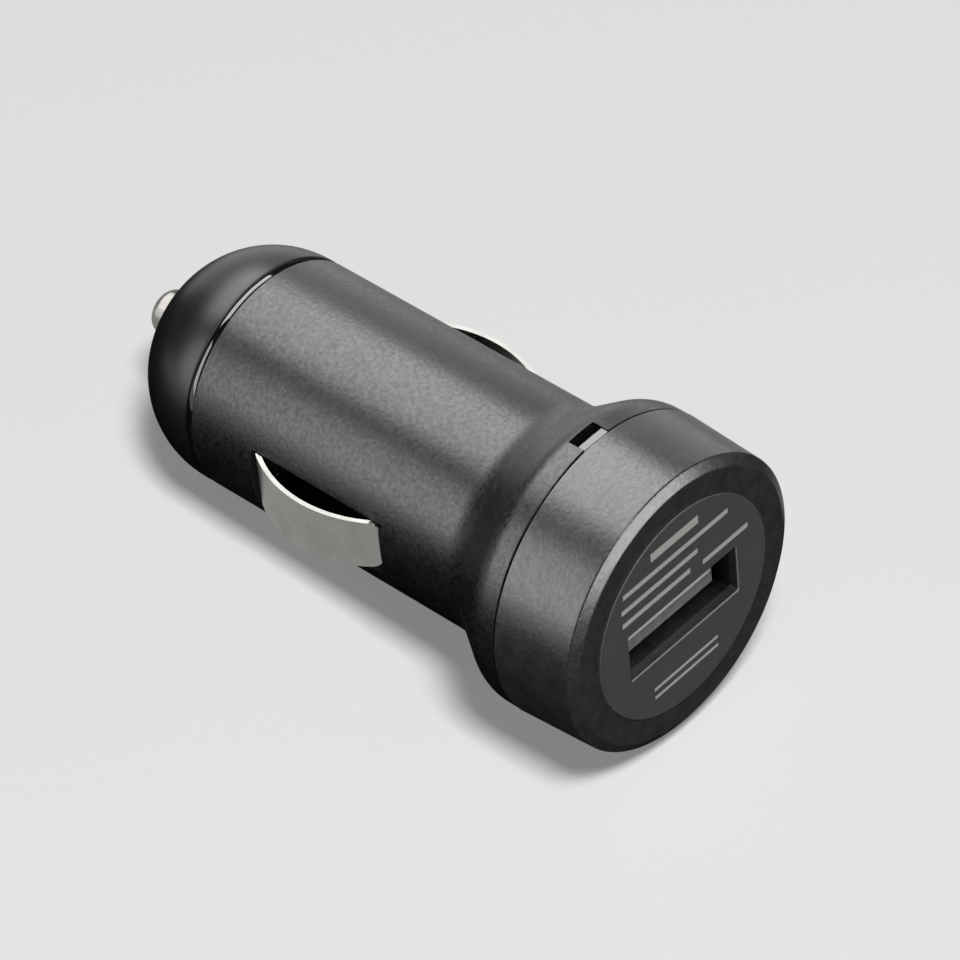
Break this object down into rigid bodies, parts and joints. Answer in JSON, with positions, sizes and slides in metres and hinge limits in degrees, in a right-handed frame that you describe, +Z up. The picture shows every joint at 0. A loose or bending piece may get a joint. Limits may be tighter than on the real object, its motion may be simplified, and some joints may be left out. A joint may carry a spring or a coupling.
{
  "type": "car charger adapter",
  "caption": "Cylindrical 12 V car charger plug: black moulded barrel with a sprung tip and bowed side contacts, flared head with a USB port, indicator window and round label.",
  "frame": {"origin": "on the plug's axis, in the plane of the front face with the port", "axes": "+Y along the plug towards its tip, +Z up through the indicator window, +X to the right seen from the front"},
  "size_m": [0.027, 0.0574, 0.027],
  "materials": {
    "shell_plastic": "fine spark-textured black plastic",
    "cap_plastic": "fine spark-textured black plastic",
    "nose_plastic": "smooth satin black plastic",
    "ring_plastic": "polished black plastic",
    "label_film": "dark grey printed film",
    "nickel_tip": "nickel plate",
    "nickel_strip": "nickel plated spring strip",
    "spring_wire": "drawn spring wire",
    "port_steel": "plated steel sheet",
    "tongue_plastic": "moulded grey plastic",
    "gold_plate": "gold plated strip",
    "clear_plastic": "clear moulded plastic",
    "lamp_epoxy": "tinted epoxy",
    "board_laminate": "green solder mask",
    "can_aluminium": "bare aluminium can",
    "ferrite": "sintered ferrite",
    "copper_wire": "enamelled copper wire",
    "chip_resin": "black moulding resin",
    "fuse_ceramic": "white ceramic",
    "chip_ceramic": "tan ceramic",
    "terminal_brass": "stamped brass"
  },
  "bodies": {
    "housing": {"upper_shell": "shell_plastic", "lower_shell": "shell_plastic", "head_cap": "cap_plastic", "label": "label_film", "nose_cap": "nose_plastic", "nose_ring": "ring_plastic", "tip_spring": "spring_wire", "spring_terminal": "terminal_brass", "light_pipe": "clear_plastic", "indicator_led": "lamp_epoxy", "usb_shell": "port_steel", "usb_contacts": "gold_plate", "usb_tongue": "tongue_plastic", "circuit_board": "board_laminate", "output_capacitor": "can_aluminium", "input_capacitor": "can_aluminium", "inductor_core": "ferrite", "inductor_winding": "copper_wire", "regulator_chip": "chip_resin", "rectifier_diode": "chip_resin", "fuse": "fuse_ceramic", "chip_resistors": "chip_resin", "chip_capacitors": "chip_ceramic"},
    "tip": {"tip_contact": "nickel_tip"},
    "left_leaf": {"side_contact_left": "nickel_strip"},
    "right_leaf": {"side_contact_right": "nickel_strip"}
  },
  "joints": [
    {"name": "tip_press", "type": "slide", "parent": "housing", "child": "tip", "axis": [0, -1, 0], "range_m": [0, 0.003], "stiffness_N_per_m": 1500, "springref_m": -0.002, "deforming": ["tip_spring"]},
    {"name": "left_leaf_flex", "type": "slide", "parent": "housing", "child": "left_leaf", "axis": [1, 0, 0], "range_m": [0, 0.0016], "stiffness_N_per_m": 3000, "springref_m": -0.0005},
    {"name": "right_leaf_flex", "type": "slide", "parent": "housing", "child": "right_leaf", "axis": [-1, 0, 0], "range_m": [0, 0.0016], "stiffness_N_per_m": 3000, "springref_m": -0.0005}
  ]
}
